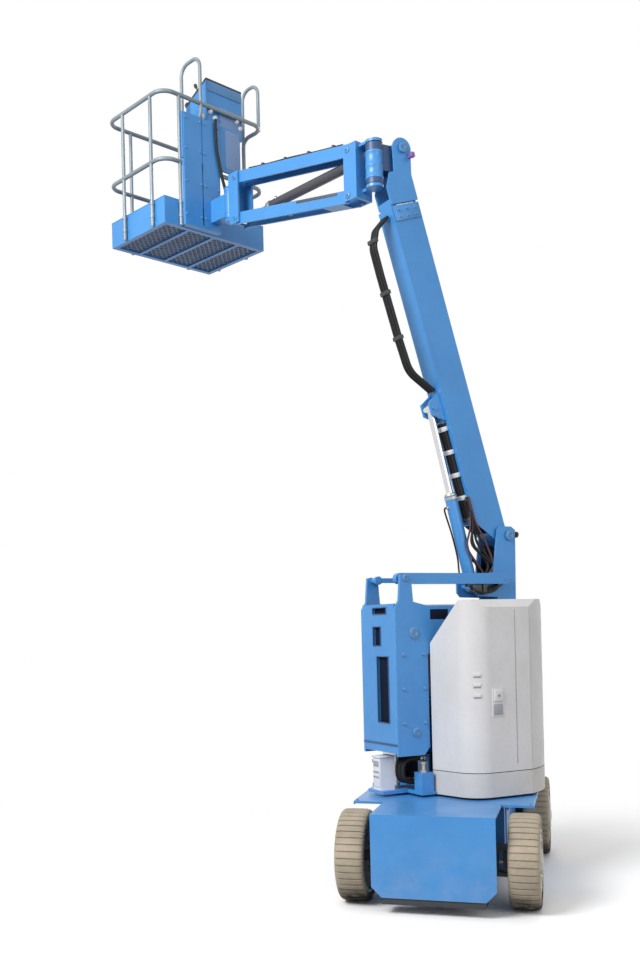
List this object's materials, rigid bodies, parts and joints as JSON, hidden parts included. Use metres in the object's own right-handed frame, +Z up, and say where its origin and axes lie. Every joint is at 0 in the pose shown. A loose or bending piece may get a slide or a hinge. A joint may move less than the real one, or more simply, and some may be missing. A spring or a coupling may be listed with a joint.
{
  "type": "articulating boom lift",
  "caption": "Narrow electric articulating boom lift: riser, telescoping boom raised steeply, swinging jib and railed basket on a steered four-wheel chassis.",
  "frame": {"origin": "on the floor under the slewing axis", "axes": "+Z up, +X the way the main boom points at rest, +Y to the turntable's left; the chassis front stands 47 degrees to the left of +X"},
  "size_m": [2.7708, 3.6543, 6.164],
  "materials": {
    "battery_case": "matt",
    "blue_paint": "satin",
    "box_white": "satin",
    "cover_grey": "satin",
    "cylinder_black": "satin",
    "dark_steel": "matt",
    "hose_rubber": "matt",
    "rail_steel": "satin",
    "rim_paint": "satin",
    "rod_chrome": "polished",
    "tray_grey": "satin",
    "tyre_rubber": "matt",
    "weight_iron": "matt"
  },
  "bodies": {
    "chassis": {"chassis_frame": "blue_paint", "front_axle": "dark_steel", "drive_hubs": "dark_steel", "steer_cylinder": "cylinder_black"},
    "steer_rod": {"steer_rod": "rod_chrome"},
    "knuckle_left": {"knuckle_left": "dark_steel"},
    "knuckle_right": {"knuckle_right": "dark_steel"},
    "turntable": {"turntable_base": "dark_steel", "riser_hoses": "hose_rubber", "counterweight": "weight_iron", "tray_left": "tray_grey", "tray_right": "tray_grey", "ground_control_box": "box_white", "battery_pack": "battery_case", "hydraulic_power_unit": "dark_steel"},
    "cover_left": {"cover_left": "cover_grey"},
    "cover_right": {"cover_right": "cover_grey"},
    "lower_arm": {"lower_arm": "blue_paint"},
    "lower_link": {"lower_link": "blue_paint"},
    "mid_pivot": {"mid_pivot": "blue_paint"},
    "upper_arm": {"upper_arm": "blue_paint"},
    "upper_link": {"upper_link": "blue_paint"},
    "upper_pivot": {"upper_pivot": "blue_paint"},
    "riser_barrel": {"riser_cylinder_barrel": "blue_paint"},
    "riser_rod": {"riser_cylinder_rod": "rod_chrome"},
    "lift_barrel": {"lift_cylinder_barrel": "blue_paint"},
    "lift_rod": {"lift_cylinder_rod": "rod_chrome"},
    "main_boom": {"main_boom": "blue_paint", "boom_hoses": "hose_rubber"},
    "boom_extension": {"boom_extension": "blue_paint"},
    "level_block": {"level_block": "blue_paint"},
    "jib_yoke": {"jib_yoke": "blue_paint"},
    "jib_upper_arm": {"jib_upper_arm": "blue_paint"},
    "jib_lower_arm": {"jib_lower_arm": "blue_paint"},
    "jib_end": {"jib_end": "blue_paint"},
    "jib_barrel": {"jib_cylinder_barrel": "cylinder_black"},
    "jib_rod": {"jib_cylinder_rod": "rod_chrome"},
    "basket": {"basket_mount": "blue_paint", "basket_floor": "blue_paint", "basket_rails": "rail_steel", "basket_control_box": "blue_paint", "basket_cable": "hose_rubber"},
    "entry_bar": {"entry_bar": "rail_steel"},
    "wheel_front_left": {"rim_front_left": "rim_paint", "tyre_front_left": "tyre_rubber"},
    "wheel_front_right": {"rim_front_right": "rim_paint", "tyre_front_right": "tyre_rubber"},
    "wheel_rear_left": {"rim_rear_left": "rim_paint", "tyre_rear_left": "tyre_rubber"},
    "wheel_rear_right": {"rim_rear_right": "rim_paint", "tyre_rear_right": "tyre_rubber"}
  },
  "joints": [
    {"name": "steer_left", "type": "hinge", "parent": "chassis", "child": "knuckle_left", "pos_m": [0.25306, 0.85788, 0.28], "axis": [0, 0, 1], "range_deg": [-32, 32]},
    {"name": "steer_right", "type": "hinge", "parent": "chassis", "child": "knuckle_right", "pos_m": [0.83814, 0.31228, 0.28], "axis": [0, 0, 1], "range_deg": [-32, 32]},
    {"name": "steer_rod_slide", "type": "slide", "parent": "chassis", "child": "steer_rod", "axis": [-0.7314, 0.682, 0], "range_m": [-0.099, 0.099]},
    {"name": "wheel_front_left_spin", "type": "hinge", "parent": "knuckle_left", "child": "wheel_front_left", "pos_m": [0.17627, 0.92949, 0.28], "axis": [-0.7314, 0.682, 0], "continuous": true},
    {"name": "wheel_front_right_spin", "type": "hinge", "parent": "knuckle_right", "child": "wheel_front_right", "pos_m": [0.91493, 0.24067, 0.28], "axis": [-0.7314, 0.682, 0], "continuous": true},
    {"name": "wheel_rear_left_spin", "type": "hinge", "parent": "chassis", "child": "wheel_rear_left", "pos_m": [-0.91493, -0.24067, 0.28], "axis": [-0.7314, 0.682, 0], "continuous": true},
    {"name": "wheel_rear_right_spin", "type": "hinge", "parent": "chassis", "child": "wheel_rear_right", "pos_m": [-0.17627, -0.92949, 0.28], "axis": [-0.7314, 0.682, 0], "continuous": true},
    {"name": "slew", "type": "hinge", "parent": "chassis", "child": "turntable", "pos_m": [0, 0, 0.6], "axis": [0, 0, 1], "range_deg": [-132.5, 226.5]},
    {"name": "cover_left_hinge", "type": "hinge", "parent": "turntable", "child": "cover_left", "pos_m": [-0.51842, 0.292, 1.3], "axis": [0, 0, 1], "range_deg": [0, 100]},
    {"name": "cover_right_hinge", "type": "hinge", "parent": "turntable", "child": "cover_right", "pos_m": [-0.51842, -0.292, 1.3], "axis": [0, 0, 1], "range_deg": [-100, 0]},
    {"name": "riser_lift", "type": "hinge", "parent": "turntable", "child": "lower_arm", "pos_m": [-0.42, 0, 1], "axis": [0, -1, 0], "range_deg": [0, 70]},
    {"name": "lower_link_pivot", "type": "hinge", "parent": "turntable", "child": "lower_link", "pos_m": [-0.42, 0, 1.17], "axis": [0, -1, 0], "range_deg": [0, 70]},
    {"name": "mid_pivot_level", "type": "hinge", "parent": "lower_arm", "child": "mid_pivot", "pos_m": [0.43, 0, 1], "axis": [0, -1, 0], "range_deg": [-70, 0]},
    {"name": "upper_arm_pivot", "type": "hinge", "parent": "mid_pivot", "child": "upper_arm", "pos_m": [0.43, 0, 1.64], "axis": [0, -1, 0], "range_deg": [-70, 0]},
    {"name": "upper_link_pivot", "type": "hinge", "parent": "mid_pivot", "child": "upper_link", "pos_m": [0.487, 0, 1.993], "axis": [0, -1, 0], "range_deg": [-70, 0]},
    {"name": "upper_pivot_level", "type": "hinge", "parent": "upper_arm", "child": "upper_pivot", "pos_m": [-0.42, 0, 1.64], "axis": [0, -1, 0], "range_deg": [0, 70]},
    {"name": "riser_barrel_pivot", "type": "hinge", "parent": "turntable", "child": "riser_barrel", "pos_m": [-0.32, 0, 0.72], "axis": [0, -1, 0], "range_deg": [0, 57.35]},
    {"name": "riser_rod_slide", "type": "slide", "parent": "riser_barrel", "child": "riser_rod", "axis": [0.9532, 0, 0.3024], "range_m": [0, 0.3156]},
    {"name": "boom_luff", "type": "hinge", "parent": "upper_pivot", "child": "main_boom", "pos_m": [-0.436, 0, 2.29], "axis": [0, -1, 0], "range_deg": [-73, 3]},
    {"name": "lift_barrel_pivot", "type": "hinge", "parent": "upper_pivot", "child": "lift_barrel", "pos_m": [-0.19, 0, 1.945], "axis": [0, -1, 0], "range_deg": [-69.81, 2.92]},
    {"name": "lift_rod_slide", "type": "slide", "parent": "lift_barrel", "child": "lift_rod", "axis": [0.251, 0, 0.968], "range_m": [-0.50275, 0.02162]},
    {"name": "boom_extend", "type": "slide", "parent": "main_boom", "child": "boom_extension", "axis": [0.2924, 0, 0.9563], "range_m": [0, 1.5]},
    {"name": "head_level", "type": "hinge", "parent": "boom_extension", "child": "level_block", "pos_m": [0.34835, 0, 4.82128], "axis": [0, -1, 0], "range_deg": [-3.01, 73.01]},
    {"name": "jib_swing", "type": "hinge", "parent": "level_block", "child": "jib_yoke", "pos_m": [0.51435, 0, 4.82128], "axis": [0, 0, 1], "range_deg": [-16, 164]},
    {"name": "jib_lift", "type": "hinge", "parent": "jib_yoke", "child": "jib_upper_arm", "pos_m": [0.56121, -0.16341, 4.85528], "axis": [-0.9613, -0.2756, 0], "range_deg": [-79.5, 59.5]},
    {"name": "jib_lower_arm_pivot", "type": "hinge", "parent": "jib_yoke", "child": "jib_lower_arm", "pos_m": [0.56121, -0.16341, 4.55328], "axis": [-0.9613, -0.2756, 0], "range_deg": [-79.5, 59.5]},
    {"name": "jib_end_level", "type": "hinge", "parent": "jib_upper_arm", "child": "jib_end", "pos_m": [0.87559, -1.25981, 5.06668], "axis": [-0.9613, -0.2756, 0], "range_deg": [-59.5, 79.5]},
    {"name": "jib_barrel_pivot", "type": "hinge", "parent": "jib_yoke", "child": "jib_barrel", "pos_m": [0.56121, -0.16341, 4.78528], "axis": [-0.9613, -0.2756, 0], "range_deg": [-77.08, 57.7]},
    {"name": "jib_rod_slide", "type": "slide", "parent": "jib_barrel", "child": "jib_rod", "axis": [0.2756, -0.9611, -0.0181], "range_m": [-0.19715, 0.26308]},
    {"name": "basket_turn", "type": "hinge", "parent": "jib_end", "child": "basket", "pos_m": [0.91143, -1.38477, 4.96468], "axis": [0, 0, 1], "range_deg": [-90, 90]},
    {"name": "entry_bar_slide", "type": "slide", "parent": "basket", "child": "entry_bar", "axis": [0, 0, 1], "range_m": [0, 0.33]}
  ],
  "couplings": [
    {"joint": "steer_right", "follows": "steer_left", "ratio": 1},
    {"joint": "steer_rod_slide", "follows": "steer_left", "m_per_rad": -0.17677},
    {"joint": "lower_link_pivot", "follows": "riser_lift", "ratio": 1},
    {"joint": "mid_pivot_level", "follows": "riser_lift", "ratio": -1},
    {"joint": "upper_arm_pivot", "follows": "riser_lift", "ratio": -1},
    {"joint": "upper_link_pivot", "follows": "riser_lift", "ratio": -1},
    {"joint": "upper_pivot_level", "follows": "riser_lift", "ratio": 1},
    {"joint": "riser_barrel_pivot", "follows": "riser_lift", "ratio": 0.8186},
    {"joint": "riser_rod_slide", "follows": "riser_lift", "m_per_rad": 0.2575},
    {"joint": "lift_barrel_pivot", "follows": "boom_luff", "ratio": 0.9556},
    {"joint": "lift_rod_slide", "follows": "boom_luff", "m_per_rad": 0.39381},
    {"joint": "head_level", "follows": "boom_luff", "ratio": -1},
    {"joint": "jib_lower_arm_pivot", "follows": "jib_lift", "ratio": 1},
    {"joint": "jib_end_level", "follows": "jib_lift", "ratio": -1},
    {"joint": "jib_barrel_pivot", "follows": "jib_lift", "ratio": 0.9689},
    {"joint": "jib_rod_slide", "follows": "jib_lift", "m_per_rad": -0.18888}
  ]
}
